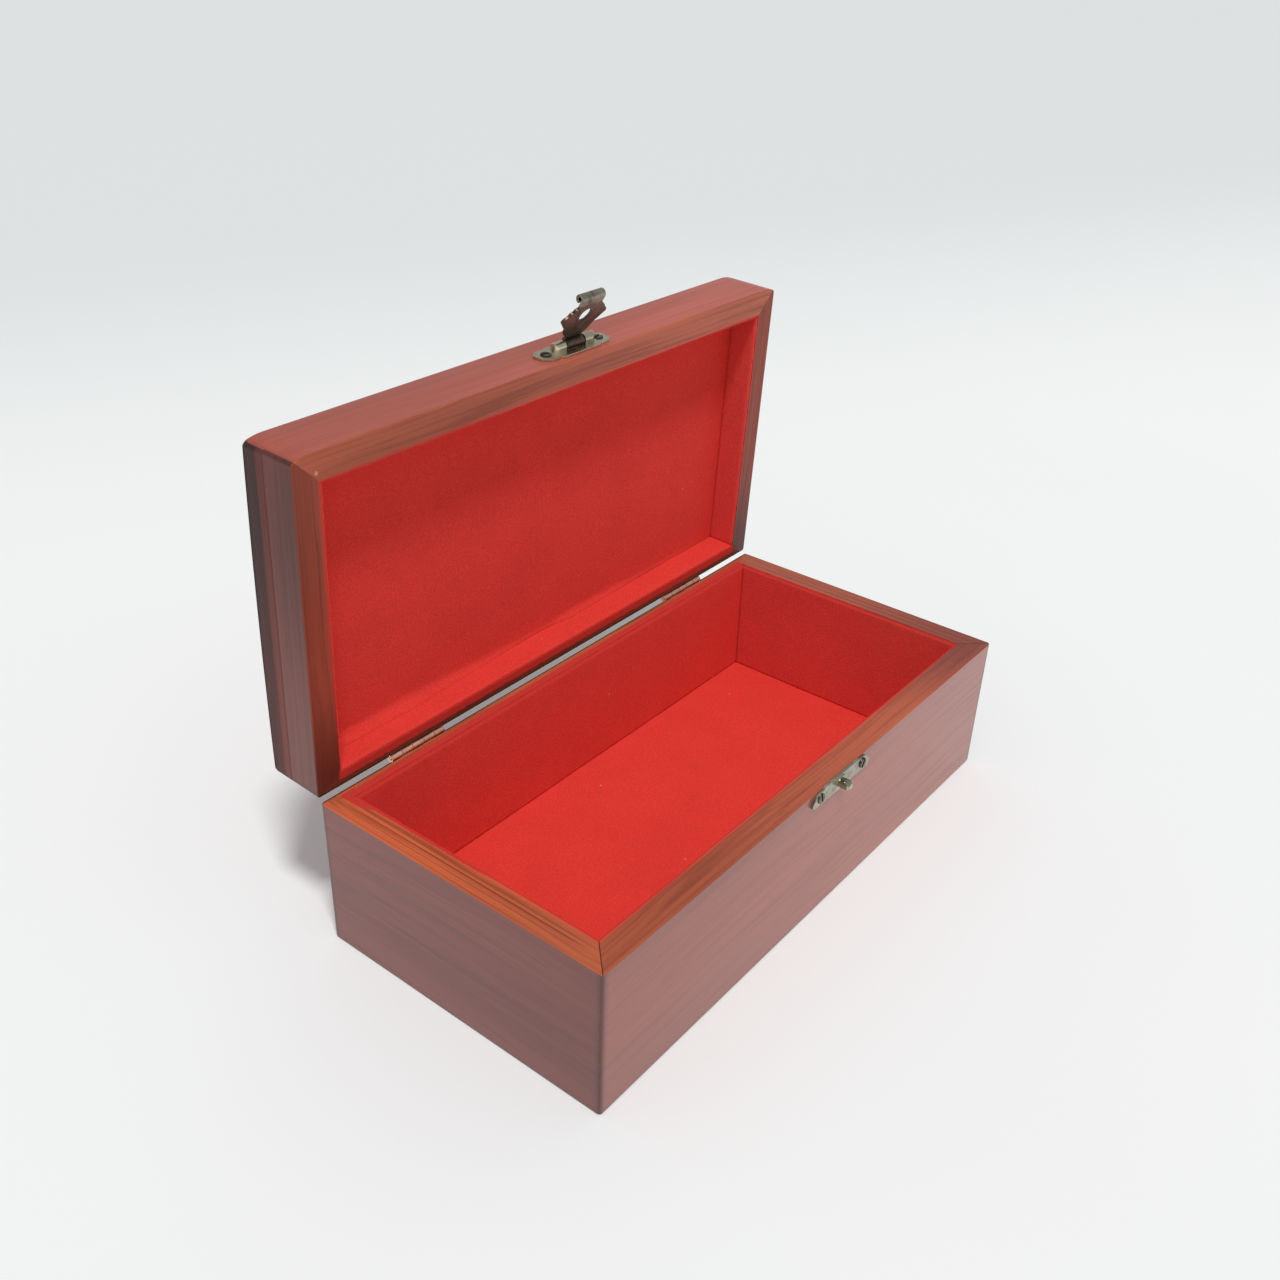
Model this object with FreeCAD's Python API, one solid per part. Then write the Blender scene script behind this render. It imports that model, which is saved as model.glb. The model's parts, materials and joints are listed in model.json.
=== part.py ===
"""Hinged wooden presentation box with a lined base and lid, two butt hinges and a swinging hasp.

Millimetres, +Z up. The origin is the centre of the underside, +X runs along the box and -Y faces
the front, where the latch is. Every piece is drawn with the lid and the hasp closed, and then turned
about its own pin to the open rest position.
"""
import FreeCAD, Part
import math
import os

from FreeCAD import Vector

# Case
box_length = 200.0
box_depth = 99.0
base_height = 47.5
wall = 8.0
back_wall = 4.5
bottom_thickness = 5.5
rabbet_width = 2.5
corner_radius = 1.0
bottom_chamfer = 0.8
rim_chamfer = 0.3
rim_gap = 0.3
lid_rail_height = 10.6
lid_corner_sweep = 6.0
lid_corner_fall = 1.2
top_edge_thickness = 8.6
top_crown = 0.8
top_edge_radius = 2.2
glue_clearance = 0.05

# Linings
lining_thickness = 0.6
lining_setback = 0.2

# Sheet that the hinge leaves, latch plates and hasp are stamped from
sheet_thickness = 0.8

# Hinges
hinge_length = 20.5
hinge_left_inset = 25.5
hinge_right_inset = 28.4
leaf_height = 10.0
leaf_corner_radius = 1.2
knuckle_count = 5
knuckle_radius = 1.1
knuckle_gap = 0.2
knuckle_relief = 0.3
hinge_pin_offset = 0.65
hinge_pin_radius = 0.5
hinge_pin_overhang = 0.3
hinge_screw_spacing = 13.0
hinge_screw_drop = 6.4
lid_open_angle = 87.5

# Fits
running_clearance = 0.05
press_clearance = 0.02

# Screws
screw_head_radius = 1.6
screw_head_height = 0.45
screw_shank_radius = 0.85
screw_shank_sides = 8
screw_length = 4.0
screw_clearance = 0.05
screw_tip_clearance = 0.3

# Latch
latch_shift = 4.6
latch_screw_spacing = 22.4
hasp_plate_length = 29.2
hasp_plate_height = 8.4
hasp_plate_waist_height = 6.6
hasp_plate_tab_height = 7.4
hasp_plate_end_height = 3.6
hasp_plate_body_length = 15.6
hasp_plate_tab_start = 18.6
hasp_plate_end_clip = 2.6
bead_radius = 1.55
bead_length = 4.6
hasp_pin_height = 1.9
hasp_pin_radius = 0.7
hasp_pin_overhang = 2.4
hasp_knuckle_width = 7.6
hasp_knuckle_radius = 1.5
hasp_side_gap = 0.3
hasp_neck_width = 6.6
hasp_neck_drop = 1.9
hasp_flare_width = 11.6
hasp_flare_drop = 5.5
hasp_shoulder_width = 18.6
hasp_shoulder_drop = 9.2
hasp_scallop_width = 14.8
hasp_scallop_drop = 11.2
hasp_waist_width = 12.0
hasp_waist_drop = 12.4
hasp_tip_width = 9.4
hasp_tip_drop = 13.4
hasp_scallop_bulge = 0.45
hasp_curl_drop = 15.9
hasp_curl_radius = 1.4
hasp_hole_radius = 2.35
hasp_hole_drop = 10.0
hasp_open_angle = 60.0

# Catch
catch_plate_length = 30.4
catch_plate_height = 4.9
catch_plate_top_gap = 0.1
catch_body_length = 17.6
catch_tab_step = 0.6
catch_upper_clip = 2.3
catch_lower_clip = 1.0
peg_drop = 3.2
peg_reach = 3.9
peg_width = 3.4
peg_height = 2.8
peg_rise = 0.55
peg_nose_chamfer = 0.6
lip_reach = 1.6
lip_left = 4.6
lip_thickness = 0.7

# Worked out from the sizes above
front_y = -box_depth / 2
back_y = box_depth / 2
inner_left = wall - box_length / 2
inner_right = box_length / 2 - wall
inner_front = front_y + wall
inner_back = back_y - back_wall
lid_rim_z = base_height + rim_gap
lid_ceiling_z = lid_rim_z + lid_rail_height
hinge_pin_y = back_y + hinge_pin_offset
hinge_pin_z = lid_rim_z
hinge_centres = {
    "left": hinge_left_inset + hinge_length / 2 - box_length / 2,
    "right": box_length / 2 - hinge_length / 2 - hinge_right_inset,
}
peg_z = base_height - catch_plate_top_gap - peg_drop
hasp_pin_y = front_y - hasp_pin_height
hasp_pin_z = peg_z - peg_rise + hasp_hole_drop
catch_plate_z = base_height - catch_plate_top_gap - catch_plate_height / 2

X = Vector(1, 0, 0)
Y = Vector(0, 1, 0)
Z = Vector(0, 0, 1)


def box_between(low, high):
    """Block between two opposite corners."""
    size = [b - a for a, b in zip(low, high)]
    return Part.makeBox(*size, Vector(*low))


def edges_along(shape, direction, keep):
    """Straight edges parallel to a direction whose middle point passes a test."""
    found = []
    for edge in shape.Edges:
        if not isinstance(edge.Curve, Part.Line):
            continue
        if edge.Curve.Direction.cross(direction).Length > 1e-6:
            continue
        if keep(edge.CenterOfMass):
            found.append(edge)
    return found


def edges_at_height(shape, z):
    """All edges that lie in one level plane."""
    return [e for e in shape.Edges if abs(e.BoundBox.ZMin - z) < 1e-6 and abs(e.BoundBox.ZMax - z) < 1e-6]


def base_block(z_low, z_high):
    """Block of the base's outline, with rounded upright corners."""
    corner = (box_length / 2, box_depth / 2)
    block = box_between((-corner[0], -corner[1], z_low), (corner[0], corner[1], z_high))
    return block.makeFillet(corner_radius, edges_along(block, Z, lambda point: True))


def lid_block(z_low, z_high):
    """Block of the lid's outline: its front falls away in a long shallow arc towards each end."""
    half_x = box_length / 2
    radius = (lid_corner_sweep ** 2 + lid_corner_fall ** 2) / (2 * lid_corner_fall)
    half_turn = math.asin(lid_corner_sweep / radius) / 2
    bend = half_x - lid_corner_sweep
    middle = (bend + radius * math.sin(half_turn), front_y + radius * (1 - math.cos(half_turn)))
    right_half = [
        line_to((bend, front_y)),
        arc_to(middle, (half_x, front_y + lid_corner_fall)),
        line_to((half_x, back_y)),
    ]
    start = (0, front_y)
    face = outline_face(start, mirrored_steps(start, right_half), lambda x, y: Vector(x, y, z_low))
    block = face.extrude(Z * (z_high - z_low))
    corners = edges_along(block, Z, lambda point: abs(abs(point.x) - half_x) < 1e-6)
    return block.makeFillet(corner_radius, corners)


def inner_block(z_low, z_high, grow=0.0):
    """Block of the inner outline, grown on all four sides."""
    low = (inner_left - grow, inner_front - grow, z_low)
    return box_between(low, (inner_right + grow, inner_back + grow, z_high))


def mitre_wedges(z_low, z_high):
    """Four prisms that part a frame along its corner mitres; the back board is the thinner one."""
    lean = back_wall / wall
    run = box_depth / (1 + lean)
    half_x = box_length / 2
    front_left = (-half_x - wall, front_y - wall)
    front_right = (half_x + wall, front_y - wall)
    back_left = (-half_x - wall, back_y + back_wall)
    back_right = (half_x + wall, back_y + back_wall)
    meet_left = (run - half_x, front_y + run)
    meet_right = (half_x - run, front_y + run)
    outlines = {
        "front": [front_left, front_right, meet_right, meet_left],
        "back": [back_right, back_left, meet_left, meet_right],
        "left": [back_left, front_left, meet_left],
        "right": [front_right, back_right, meet_right],
    }
    wedges = {}
    for side, corners in outlines.items():
        points = [Vector(x, y, z_low) for x, y in corners]
        face = Part.Face(Part.makePolygon(points + points[:1]))
        wedges[side] = face.extrude(Z * (z_high - z_low))
    return wedges


def outline_face(start, steps, place):
    """Face inside an outline of lines and three-point arcs, given as plane coordinates."""
    edges = []
    here = start
    for step in steps:
        if len(step) == 2:
            edges.append(Part.LineSegment(place(*here), place(*step[1])).toShape())
        else:
            edges.append(Part.Arc(place(*here), place(*step[1]), place(*step[2])).toShape())
        here = step[-1]
    return Part.Face(Part.Wire(edges))


def line_to(point):
    return ("line", point)


def arc_to(middle, point):
    return ("arc", middle, point)


def mirrored_steps(start, steps):
    """Steps of a right-hand half outline, followed by the same half mirrored back to the start."""
    points = [start] + [step[-1] for step in steps]
    back = [line_to((-points[-1][0], points[-1][1]))]
    for index in range(len(steps) - 1, -1, -1):
        target = (-points[index][0], points[index][1])
        if steps[index][0] == "line":
            back.append(line_to(target))
        else:
            middle = steps[index][1]
            back.append(arc_to((-middle[0], middle[1]), target))
    if points[0][0] != 0:
        back.append(line_to(points[0]))
    return steps + back


def bulged(start, end, bulge):
    """Arc step from one point to another that swells sideways by a set amount."""
    run = (end[0] - start[0], end[1] - start[1])
    length = math.hypot(*run)
    middle = ((start[0] + end[0]) / 2, (start[1] + end[1]) / 2)
    return arc_to((middle[0] + run[1] / length * bulge, middle[1] - run[0] / length * bulge), end)


def along(shape, position, direction):
    """Copy of a shape drawn along +Z, moved to a position and turned to a direction."""
    copy = shape.copy()
    copy.Placement = FreeCAD.Placement(Vector(*position), FreeCAD.Rotation(Z, direction))
    return copy


def shank_prism(radius, length):
    """Hidden shank of a screw, drawn as a many-sided prism below the origin."""
    turns = [2 * math.pi * index / screw_shank_sides for index in range(screw_shank_sides)]
    points = [Vector(radius * math.cos(turn), radius * math.sin(turn), 0) for turn in turns]
    return Part.Face(Part.makePolygon(points + points[:1])).extrude(Z * -length)


def screw_at(position, outward):
    """Pan-head wood screw; position is the centre of its seat on the plate's face."""
    head = Part.makeCylinder(screw_head_radius, screw_head_height)
    return along(head.fuse(shank_prism(screw_shank_radius, screw_length)), position, outward)


def drilled(shape, positions, outward):
    """Plate or board with a hole for the shank of each screw."""
    hole = shank_prism(screw_shank_radius + screw_clearance, screw_length + screw_tip_clearance)
    for position in positions:
        shape = shape.cut(along(hole, position, outward))
    return shape


def screws(positions, outward):
    return Part.makeCompound([screw_at(position, outward) for position in positions])


def hinge_screw_positions(centres, drop):
    """Screw places on the outer faces of the hinge leaves."""
    y = back_y + sheet_thickness
    spread = hinge_screw_spacing / 2
    return [(centre + side, y, hinge_pin_z + drop) for centre in centres for side in (-spread, spread)]


def knuckle_grooves():
    """Room for the knuckles of both hinges along the back edges of the base and the lid."""
    reach = knuckle_radius + knuckle_relief
    half = hinge_length / 2 + knuckle_relief
    return [
        box_between(
            (centre - half, hinge_pin_y - reach, hinge_pin_z - reach),
            (centre + half, hinge_pin_y + reach, hinge_pin_z + reach),
        )
        for centre in hinge_centres.values()
    ]


def latch_screw_positions(z):
    """Screw places on the outer face of a latch plate."""
    y = front_y - sheet_thickness
    return [(latch_shift + side * latch_screw_spacing / 2, y, z) for side in (-1, 1)]


def base_case():
    """Four mitred walls, rebated for a bottom board that drops in flush."""
    block = base_block(0, base_height)
    block = block.makeChamfer(bottom_chamfer, edges_at_height(block, 0))
    block = block.makeChamfer(rim_chamfer, edges_at_height(block, base_height))
    frame = block.cut(inner_block(bottom_thickness, base_height))
    frame = frame.cut(inner_block(0, bottom_thickness, rabbet_width))
    pieces = {
        f"base_{side}_panel": frame.common(wedge)
        for side, wedge in mitre_wedges(0, base_height).items()
    }
    pieces["base_bottom_panel"] = inner_block(0, bottom_thickness, rabbet_width - glue_clearance)
    pieces["base_front_panel"] = drilled(
        pieces["base_front_panel"], latch_screw_positions(catch_plate_z), -Y)
    hinge_holes = hinge_screw_positions(hinge_centres.values(), -hinge_screw_drop)
    pieces["base_back_panel"] = drilled(
        pieces["base_back_panel"].cut(knuckle_grooves()), hinge_holes, Y)
    return pieces


def lid_case():
    """Four mitred rails under a crowned top board with rounded edges."""
    block = lid_block(lid_rim_z, lid_ceiling_z)
    block = block.makeChamfer(rim_chamfer, edges_at_height(block, lid_rim_z))
    frame = block.cut(inner_block(lid_rim_z, lid_ceiling_z))
    pieces = {
        f"lid_{side}_rail": frame.common(wedge)
        for side, wedge in mitre_wedges(lid_rim_z, lid_ceiling_z).items()
    }
    pieces["lid_front_rail"] = drilled(
        pieces["lid_front_rail"], latch_screw_positions(hasp_pin_z), -Y)
    hinge_holes = hinge_screw_positions(hinge_centres.values(), hinge_screw_drop)
    pieces["lid_back_rail"] = drilled(
        pieces["lid_back_rail"].cut(knuckle_grooves()), hinge_holes, Y)
    pieces["lid_top_panel"] = lid_top_board()
    return pieces


def lid_top_board():
    """Top board: a low arch across the depth, with all upper edges rounded over."""
    edge_z = lid_ceiling_z + top_edge_thickness
    half_depth = box_depth / 2
    section = outline_face(
        (-half_depth, lid_ceiling_z),
        [
            line_to((half_depth, lid_ceiling_z)),
            line_to((half_depth, edge_z)),
            arc_to((0, edge_z + top_crown), (-half_depth, edge_z)),
            line_to((-half_depth, lid_ceiling_z)),
        ],
        lambda y, z: Vector(-box_length / 2, y, z),
    )
    board = section.extrude(X * box_length).common(lid_block(lid_ceiling_z, edge_z + top_crown))
    upper = [edge for edge in board.Edges if edge.BoundBox.ZMin > edge_z - 1e-6]
    return board.makeFillet(top_edge_radius, upper)


def linings(prefix, flat_name, flat_low, wall_low, wall_high):
    """One flat sheet and four wall sheets inside a case."""
    left, right = inner_left + glue_clearance, inner_right - glue_clearance
    front, back = inner_front + glue_clearance, inner_back - glue_clearance
    step = lining_thickness
    near, far = front + step + glue_clearance, back - step - glue_clearance
    sheets = {
        flat_name: ((left, front, flat_low), (right, back, flat_low + step)),
        "front": ((left, front, wall_low), (right, front + step, wall_high)),
        "back": ((left, back - step, wall_low), (right, back, wall_high)),
        "left": ((left, near, wall_low), (left + step, far, wall_high)),
        "right": ((right - step, near, wall_low), (right, far, wall_high)),
    }
    return {f"{prefix}_{name}_lining": box_between(*corners) for name, corners in sheets.items()}


def base_linings():
    floor_top = bottom_thickness + lining_thickness
    return linings("base", "floor", bottom_thickness, floor_top, base_height - lining_setback)


def lid_linings():
    panel_low = lid_ceiling_z - lining_thickness
    return linings("lid", "top", panel_low, lid_rim_z + lining_setback, panel_low)


def hinge_leaf(centre, owned, upward, bore_clearance):
    """Stamped leaf on the back face, rolled into every second knuckle."""
    sign = 1 if upward else -1
    shoulder = knuckle_radius + knuckle_relief
    half = hinge_length / 2
    levels = sorted((hinge_pin_z + sign * shoulder, hinge_pin_z + sign * leaf_height))
    plate = box_between(
        (centre - half, back_y, levels[0]),
        (centre + half, back_y + sheet_thickness, levels[1]),
    )
    far_z = hinge_pin_z + sign * leaf_height
    far_corners = edges_along(plate, Y, lambda point: abs(point.z - far_z) < 1e-6)
    leaf = plate.makeFillet(leaf_corner_radius, far_corners)
    pitch = hinge_length / knuckle_count
    for index in owned:
        x_low = centre - half + index * pitch + knuckle_gap / 2
        width = pitch - knuckle_gap
        roll = Part.makeCylinder(knuckle_radius, width, Vector(x_low, hinge_pin_y, hinge_pin_z), X)
        root_z = sorted((hinge_pin_z, hinge_pin_z + sign * shoulder))
        root = box_between(
            (x_low, back_y, root_z[0]),
            (x_low + width, back_y + sheet_thickness, root_z[1]),
        )
        leaf = leaf.fuse([roll, root])
    bore = Part.makeCylinder(
        hinge_pin_radius + bore_clearance, hinge_length * 2,
        Vector(centre - hinge_length, hinge_pin_y, hinge_pin_z), X,
    )
    leaf = leaf.cut(bore).removeSplitter()
    return drilled(leaf, hinge_screw_positions([centre], sign * hinge_screw_drop), Y)


def hinges():
    """Base-side and lid-side pieces of both butt hinges."""
    base_pieces = {}
    lid_pieces = {}
    knuckles = range(knuckle_count)
    for side, centre in hinge_centres.items():
        base_pieces[f"hinge_{side}_base_leaf"] = hinge_leaf(centre, knuckles[0::2], False, press_clearance)
        lid_pieces[f"hinge_{side}_lid_leaf"] = hinge_leaf(centre, knuckles[1::2], True, running_clearance)
        pin_length = hinge_length + 2 * hinge_pin_overhang
        pin_start = Vector(centre - pin_length / 2, hinge_pin_y, hinge_pin_z)
        base_pieces[f"hinge_{side}_pin"] = Part.makeCylinder(hinge_pin_radius, pin_length, pin_start, X)
        base_holes = hinge_screw_positions([centre], -hinge_screw_drop)
        lid_holes = hinge_screw_positions([centre], hinge_screw_drop)
        base_pieces[f"hinge_{side}_base_screws"] = screws(base_holes, Y)
        lid_pieces[f"hinge_{side}_lid_screws"] = screws(lid_holes, Y)
    return base_pieces, lid_pieces


def on_front(z):
    """Plane coordinates across and up on the front face, about the latch's centre line."""
    return lambda across, up: Vector(latch_shift + across, front_y, z + up)


def catch_plate():
    """Stamped plate on the base front, with a lip and a peg drawn out of its upper edge."""
    half = catch_plate_length / 2
    body = catch_body_length / 2
    top = catch_plate_height / 2
    shoulder = top - catch_tab_step
    right_half = [
        line_to((body, top)),
        line_to((body + catch_tab_step, shoulder)),
        line_to((half - catch_upper_clip, shoulder)),
        line_to((half, shoulder - catch_upper_clip)),
        line_to((half, catch_lower_clip - top)),
        line_to((half - catch_lower_clip, -top)),
    ]
    face = outline_face((0, top), mirrored_steps((0, top), right_half), on_front(catch_plate_z))
    plate = face.extrude(-Y * sheet_thickness)
    lip_top = base_height - catch_plate_top_gap
    lip = box_between(
        (latch_shift - lip_left, front_y - lip_reach, lip_top - lip_thickness),
        (latch_shift, front_y, lip_top),
    )
    plate = plate.fuse([lip, catch_peg()]).removeSplitter()
    return drilled(plate, latch_screw_positions(catch_plate_z), -Y)


def catch_peg():
    """Peg of oblong section with a rounded nose, which the hasp's hole drops over."""
    end_radius = peg_height / 2
    flat = peg_width / 2 - end_radius
    section = outline_face(
        (-flat, end_radius),
        [
            line_to((flat, end_radius)),
            arc_to((flat + end_radius, 0), (flat, -end_radius)),
            line_to((-flat, -end_radius)),
            arc_to((-flat - end_radius, 0), (-flat, end_radius)),
        ],
        on_front(peg_z),
    )
    peg = section.extrude(-Y * peg_reach)
    nose_y = front_y - peg_reach
    nose = [edge for edge in peg.Edges if edge.BoundBox.YMax < nose_y + 1e-6]
    return peg.makeChamfer(peg_nose_chamfer, nose)


def hasp_plate():
    """Shaped plate on the lid front with two raised beads that hold the hasp's pin."""
    half = hasp_plate_length / 2
    body = hasp_plate_body_length / 2
    tab = hasp_plate_tab_start / 2
    top = hasp_plate_height / 2
    waist = ((body + tab) / 2, hasp_plate_waist_height / 2)
    tab_top = hasp_plate_tab_height / 2
    end_top = hasp_plate_end_height / 2
    upper_right = [
        line_to((body, top)),
        line_to(waist),
        line_to((tab, tab_top)),
        line_to((half - hasp_plate_end_clip, tab_top)),
        line_to((half, end_top)),
        line_to((half, -end_top)),
        line_to((half - hasp_plate_end_clip, -tab_top)),
        line_to((tab, -tab_top)),
        line_to((waist[0], -waist[1])),
        line_to((body, -top)),
    ]
    face = outline_face((0, top), mirrored_steps((0, top), upper_right), on_front(hasp_pin_z))
    plate = face.extrude(-Y * sheet_thickness)
    gate = hasp_knuckle_width / 2 + hasp_side_gap
    plate = plate.fuse([hasp_bead(side, gate) for side in (-1, 1)]).removeSplitter()
    half_window = hasp_knuckle_radius + hasp_side_gap
    window = box_between(
        (latch_shift - gate, front_y - sheet_thickness, hasp_pin_z - half_window),
        (latch_shift + gate, front_y, hasp_pin_z + half_window),
    )
    bore = Part.makeCylinder(
        hasp_pin_radius + press_clearance, hasp_pin_length(),
        Vector(latch_shift - hasp_pin_length() / 2, hasp_pin_y, hasp_pin_z), X,
    )
    plate = plate.cut(window).cut(bore)
    return drilled(plate, latch_screw_positions(hasp_pin_z), -Y)


def hasp_pin_length():
    return hasp_knuckle_width + 2 * (hasp_side_gap + hasp_pin_overhang)


def hasp_bead(side, gate):
    """Half-round bead beside the hasp's knuckle, rounded off at its outer end."""
    run = bead_length - bead_radius
    start = Vector(latch_shift + side * gate, hasp_pin_y, hasp_pin_z)
    turn = start + X * (side * run)
    barrel = Part.makeCylinder(bead_radius, bead_length, start, X * side)
    x_low, x_high = sorted((start.x, start.x + side * bead_length))
    skirt = box_between(
        (x_low, hasp_pin_y, hasp_pin_z - bead_radius),
        (x_high, front_y, hasp_pin_z + bead_radius),
    )
    reach = hasp_pin_height + bead_radius
    plan_end = Part.makeCylinder(bead_radius, reach, Vector(turn.x, front_y, turn.z), -Y)
    x_low, x_high = sorted((start.x, turn.x))
    plan_side = box_between(
        (x_low, front_y - reach, hasp_pin_z - bead_radius),
        (x_high, front_y, hasp_pin_z + bead_radius),
    )
    return barrel.fuse(skirt).common(plan_end.fuse(plan_side)).removeSplitter()


def hasp_pin():
    length = hasp_pin_length() - 2 * press_clearance
    start = Vector(latch_shift - length / 2, hasp_pin_y, hasp_pin_z)
    return Part.makeCylinder(hasp_pin_radius, length, start, X)


def rolled_sector(centre, inner, outer, first_degrees, last_degrees, place):
    """Part of a rolled sheet: an arc of a ring, as a face."""
    def polar(radius, degrees):
        angle = math.radians(degrees)
        return (centre[0] + radius * math.cos(angle), centre[1] + radius * math.sin(angle))

    middle = (first_degrees + last_degrees) / 2
    return outline_face(
        polar(outer, first_degrees),
        [
            arc_to(polar(outer, middle), polar(outer, last_degrees)),
            line_to(polar(inner, last_degrees)),
            arc_to(polar(inner, middle), polar(inner, first_degrees)),
            line_to(polar(outer, first_degrees)),
        ],
        place,
    )


def hasp():
    """Swinging tongue: one sheet rolled round the pin, scalloped, pierced and curled at its tip."""
    half_span = hasp_shoulder_width

    def place(out, down):
        return Vector(latch_shift - half_span, hasp_pin_y - out, hasp_pin_z - down)

    bore = hasp_pin_radius + running_clearance
    inner_face = hasp_knuckle_radius - sheet_thickness
    sheet = outline_face(
        (inner_face, 0),
        [
            line_to((hasp_knuckle_radius, 0)),
            line_to((hasp_knuckle_radius, hasp_curl_drop)),
            line_to((inner_face, hasp_curl_drop)),
            line_to((inner_face, 0)),
        ],
        place,
    )
    knuckle = rolled_sector((0, 0), bore, hasp_knuckle_radius, -300, 0, place)
    curl_centre = (inner_face + hasp_curl_radius, hasp_curl_drop)
    curl = rolled_sector(curl_centre, hasp_curl_radius - sheet_thickness, hasp_curl_radius, -90, 180, place)
    bent = [face.extrude(X * (2 * half_span)) for face in (sheet, knuckle, curl)]
    strip = bent[0].fuse(bent[1:]).cut(hasp_bore(bore)).removeSplitter()
    return strip.common(hasp_outline()).cut(hasp_hole())


def hasp_bore(radius):
    start = Vector(latch_shift - hasp_shoulder_width, hasp_pin_y, hasp_pin_z)
    return Part.makeCylinder(radius, 2 * hasp_shoulder_width, start, X)


def hasp_hole():
    reach = hasp_knuckle_radius * 4
    start = Vector(latch_shift, hasp_pin_y + reach, hasp_pin_z - hasp_hole_drop)
    return Part.makeCylinder(hasp_hole_radius, 2 * reach, start, -Y)


def hasp_outline():
    """Prism of the tongue's front view: narrow neck, pointed shoulders, scallops and a straight tip."""
    top = (hasp_knuckle_width / 2, hasp_knuckle_radius)
    knuckle_foot = (hasp_knuckle_width / 2, -sheet_thickness)
    neck = (hasp_neck_width / 2, -hasp_neck_drop)
    flare = (hasp_flare_width / 2, -hasp_flare_drop)
    shoulder = (hasp_shoulder_width / 2, -hasp_shoulder_drop)
    scallop = (hasp_scallop_width / 2, -hasp_scallop_drop)
    waist = (hasp_waist_width / 2, -hasp_waist_drop)
    tip = (hasp_tip_width / 2, -hasp_tip_drop)
    end = (hasp_tip_width / 2, -hasp_curl_drop - hasp_curl_radius)
    right_half = [
        line_to(top),
        line_to(knuckle_foot),
        line_to(neck),
        bulged(neck, flare, -hasp_scallop_bulge),
        line_to(shoulder),
        bulged(shoulder, scallop, -hasp_scallop_bulge),
        bulged(scallop, waist, -hasp_scallop_bulge),
        bulged(waist, tip, -hasp_scallop_bulge),
        line_to(end),
    ]
    start = (0, hasp_knuckle_radius)
    face = outline_face(start, mirrored_steps(start, right_half), on_front(hasp_pin_z))
    return face.extrude(-Y * (hasp_pin_height + 4 * hasp_knuckle_radius))


def turned(shape, y, z, degrees):
    """Copy of a shape turned open about an axis along the box."""
    copy = shape.copy()
    copy.rotate(Vector(0, y, z), X, -degrees)
    return copy


def assemble():
    """All pieces by name, at their rest places."""
    base_hinges, lid_hinges = hinges()
    fixed = {**base_case(), **base_linings(), **base_hinges}
    fixed["catch_plate"] = catch_plate()
    fixed["catch_screws"] = screws(latch_screw_positions(catch_plate_z), -Y)
    lid = {**lid_case(), **lid_linings(), **lid_hinges}
    lid["hasp_plate"] = hasp_plate()
    lid["hasp_pin"] = hasp_pin()
    lid["hasp_plate_screws"] = screws(latch_screw_positions(hasp_pin_z), -Y)
    lid["hasp"] = turned(hasp(), hasp_pin_y, hasp_pin_z, hasp_open_angle)
    opened = {
        name: turned(shape, hinge_pin_y, hinge_pin_z, lid_open_angle) for name, shape in lid.items()
    }
    return {**fixed, **opened}


def main():
    os.makedirs("parts", exist_ok=True)
    for name, shape in assemble().items():
        shape.exportStep(f"parts/{name}.step")


main()
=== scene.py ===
"""Looks of the hinged, lined wooden box: lacquered wood, red flock sheets and aged brass fittings."""

import json
import math

import bmesh
import bpy
from mathutils import Matrix, Quaternion, Vector, noise


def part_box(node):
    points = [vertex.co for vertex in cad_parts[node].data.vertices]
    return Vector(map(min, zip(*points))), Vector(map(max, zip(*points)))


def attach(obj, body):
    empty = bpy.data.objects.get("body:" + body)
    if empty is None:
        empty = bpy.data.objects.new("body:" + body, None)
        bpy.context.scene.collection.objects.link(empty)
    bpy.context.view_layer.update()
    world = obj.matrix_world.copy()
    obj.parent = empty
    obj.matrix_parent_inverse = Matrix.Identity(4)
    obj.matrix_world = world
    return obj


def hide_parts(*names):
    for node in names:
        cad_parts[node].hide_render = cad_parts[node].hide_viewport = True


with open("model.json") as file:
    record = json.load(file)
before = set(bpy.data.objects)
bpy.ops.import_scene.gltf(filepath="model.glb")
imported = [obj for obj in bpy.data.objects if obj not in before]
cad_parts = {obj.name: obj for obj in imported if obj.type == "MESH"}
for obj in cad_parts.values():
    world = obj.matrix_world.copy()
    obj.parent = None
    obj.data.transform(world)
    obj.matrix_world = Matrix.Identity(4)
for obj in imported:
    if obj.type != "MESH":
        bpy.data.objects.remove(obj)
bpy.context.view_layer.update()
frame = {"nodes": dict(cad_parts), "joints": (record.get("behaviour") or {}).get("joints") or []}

# The view, from a camera fitted to the corners of the box
CAMERA_SPOT = Vector((-0.2735, -0.1905, 0.2686))
CAMERA_AIM = Vector((0.6829, 0.5260, -0.5069))
CAMERA_ROLL = math.radians(1.96)
CAMERA_LENS_MM = 37.4
SENSOR_MM = 36.0

# The lid stands open at rest; its boards are easier to describe with the lid shut
lid_joint = next(joint for joint in frame["joints"] if joint["name"] == "lid_hinge")
LID_PIN = Vector(lid_joint["pos_m"])
LID_ANGLE = math.radians(-lid_joint["range_deg"][0])
TO_PIN = Matrix.Translation(LID_PIN)
LID_SHUT = TO_PIN @ Matrix.Rotation(LID_ANGLE, 4, "X") @ TO_PIN.inverted()
LID_OPEN = LID_SHUT.inverted()

# Outer size of the case and the heights of the two rims, lid shut
CASE_HALF_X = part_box("base_right_panel")[1].x
CASE_HALF_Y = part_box("base_back_panel")[1].y
BASE_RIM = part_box("base_front_panel")[1].z
LID_RIM = LID_PIN.z


# Shader helpers


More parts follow.
